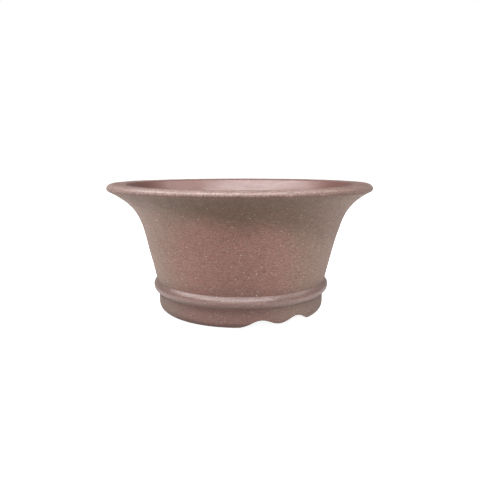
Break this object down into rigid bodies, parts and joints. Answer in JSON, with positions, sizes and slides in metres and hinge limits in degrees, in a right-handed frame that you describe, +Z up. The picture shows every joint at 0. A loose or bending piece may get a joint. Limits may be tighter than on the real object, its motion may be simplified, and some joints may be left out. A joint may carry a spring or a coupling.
{
  "type": "bonsai pot",
  "caption": "Round unglazed clay bonsai pot with a flared wall, out-turned rim, raised waist band and a foot ring with cloud-shaped cut-outs.",
  "frame": {"origin": "centre of the plane that the foot ring rests on", "axes": "+Z up along the pot's axis; the two foot cut-outs face -Y (front) and +Y (back)"},
  "size_m": [0.2, 0.2, 0.097],
  "materials": {
    "clay_wall": "unglazed purple-brown stoneware, matte, finely speckled",
    "clay_rim": "unglazed stoneware, matte, rubbed a little smoother on the edge",
    "clay_band": "unglazed stoneware, burnished to a soft sheen",
    "clay_floor": "unglazed stoneware, matte",
    "clay_foot": "unglazed stoneware, matte"
  },
  "bodies": {
    "root": {"foot_ring": "clay_foot", "floor_slab": "clay_floor", "waist_band": "clay_band", "wall": "clay_wall", "rim_lip": "clay_rim", "corner_coil": "clay_floor"}
  },
  "joints": []
}
